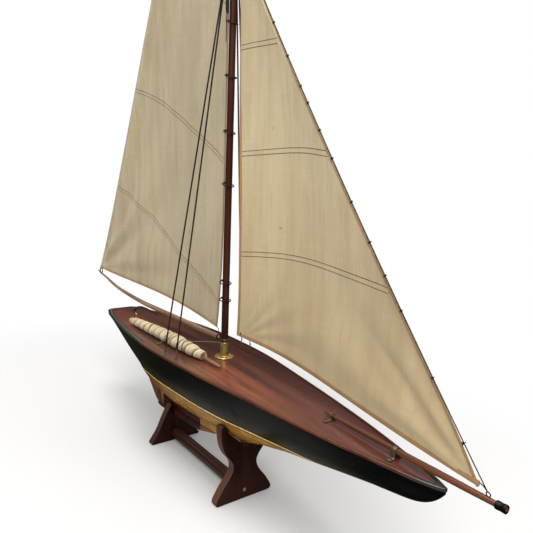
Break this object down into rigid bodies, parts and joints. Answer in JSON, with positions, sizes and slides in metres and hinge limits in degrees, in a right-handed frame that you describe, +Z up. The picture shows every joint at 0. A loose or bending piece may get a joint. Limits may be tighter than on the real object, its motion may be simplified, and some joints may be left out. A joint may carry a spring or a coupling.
{
  "type": "model sailing yacht",
  "caption": "Antique-style model sailing yacht with a dark hull, long ballast keel, raked rudder, gaff-less mainsail and jib, resting on a wooden two-plate cradle.",
  "frame": {"origin": "on the floor, on the hull's centreline, under the middle of the overall length, 9 mm forward of the cradle's middle", "axes": "+X towards the bow, +Y to port, +Z up"},
  "size_m": [1.3724, 0.2066, 1.7175],
  "materials": {
    "hull_paint": "glossy black enamel over an ochre bottom, with a thin gold waterline",
    "lead": "lead painted ochre",
    "brass": "worn, slightly tarnished",
    "deck_wood": "glossy varnished mahogany",
    "edge_wood": "varnished, worn orange-red edge",
    "inner_wood": "bare pine",
    "mast_wood": "dark red-brown varnish",
    "spar_wood": "warm brown varnish",
    "rudder_wood": "dark mahogany, satin",
    "stand_wood": "dark red-brown polish, rounded edges",
    "dark_iron": "blackened wire and fittings",
    "cord": "dark waxed cord",
    "sailcloth": "aged unbleached cotton with taped edges",
    "roll_cloth": "cream cotton, rolled"
  },
  "bodies": {
    "stand": {"cradle_plate_fore": "stand_wood", "cradle_plate_aft": "stand_wood", "cradle_stretcher": "stand_wood", "cradle_screw_fore": "brass", "cradle_screw_aft": "brass"},
    "yacht": {"hull_shell": "hull_paint", "sternpost": "rudder_wood", "rudder_shoe": "brass", "lead_keel": "lead", "keel_bolt_fore": "brass", "keel_bolt_aft": "brass", "deck": "deck_wood", "gunwale_moulding": "edge_wood", "deck_beam_aft": "inner_wood", "deck_beam_mid": "inner_wood", "deck_beam_fore": "inner_wood", "mast_step": "inner_wood", "mast": "mast_wood", "mast_tube": "brass", "flange_screw_port": "brass", "flange_screw_starboard": "brass", "hounds_band": "dark_iron", "mast_truck": "mast_wood", "shroud_aft_port": "cord", "shroud_fore_port": "cord", "shroud_aft_starboard": "cord", "shroud_fore_starboard": "cord", "shroud_hook_aft_port": "dark_iron", "shroud_hook_fore_port": "dark_iron", "shroud_hook_aft_starboard": "dark_iron", "shroud_hook_fore_starboard": "dark_iron", "bowsprit": "spar_wood", "bowsprit_saddle": "brass", "gammon_band": "brass", "bowsprit_cap": "dark_iron", "rudder_trunk": "brass", "spare_sail_roll": "roll_cloth", "spare_sail_spar": "spar_wood", "spare_sail_tie": "roll_cloth"},
    "rudder": {"rudder_blade": "rudder_wood", "rudder_stock": "brass", "tiller": "rudder_wood"},
    "main": {"boom": "spar_wood", "gooseneck": "dark_iron", "mainsail": "sailcloth", "mast_hoop_1": "dark_iron", "mast_hoop_2": "dark_iron", "mast_hoop_3": "dark_iron", "mast_hoop_4": "dark_iron", "mast_hoop_5": "dark_iron", "mast_hoop_6": "dark_iron", "mast_hoop_7": "dark_iron", "mast_hoop_8": "dark_iron"},
    "jib": {"jib_sail": "sailcloth", "jib_stay": "cord", "jib_hank_1": "dark_iron", "jib_hank_2": "dark_iron", "jib_hank_3": "dark_iron", "jib_hank_4": "dark_iron"}
  },
  "joints": [
    {"name": "yacht_lift", "type": "slide", "parent": "stand", "child": "yacht", "axis": [0, 0, 1], "range_m": [0, 0.15]},
    {"name": "rudder_turn", "type": "hinge", "parent": "yacht", "child": "rudder", "pos_m": [-0.21344, 0, 0.064], "axis": [-0.6684, 0, 0.7438], "range_deg": [-12, 30]},
    {"name": "main_swing", "type": "hinge", "parent": "yacht", "child": "main", "pos_m": [0.06107, 0, 0.3095], "axis": [0, 0, 1], "range_deg": [-28, 28]},
    {"name": "jib_swing", "type": "hinge", "parent": "yacht", "child": "jib", "pos_m": [0.65956, 0, 0.2745], "axis": [-0.5876, 0, 0.8091], "range_deg": [-20, 20]}
  ]
}
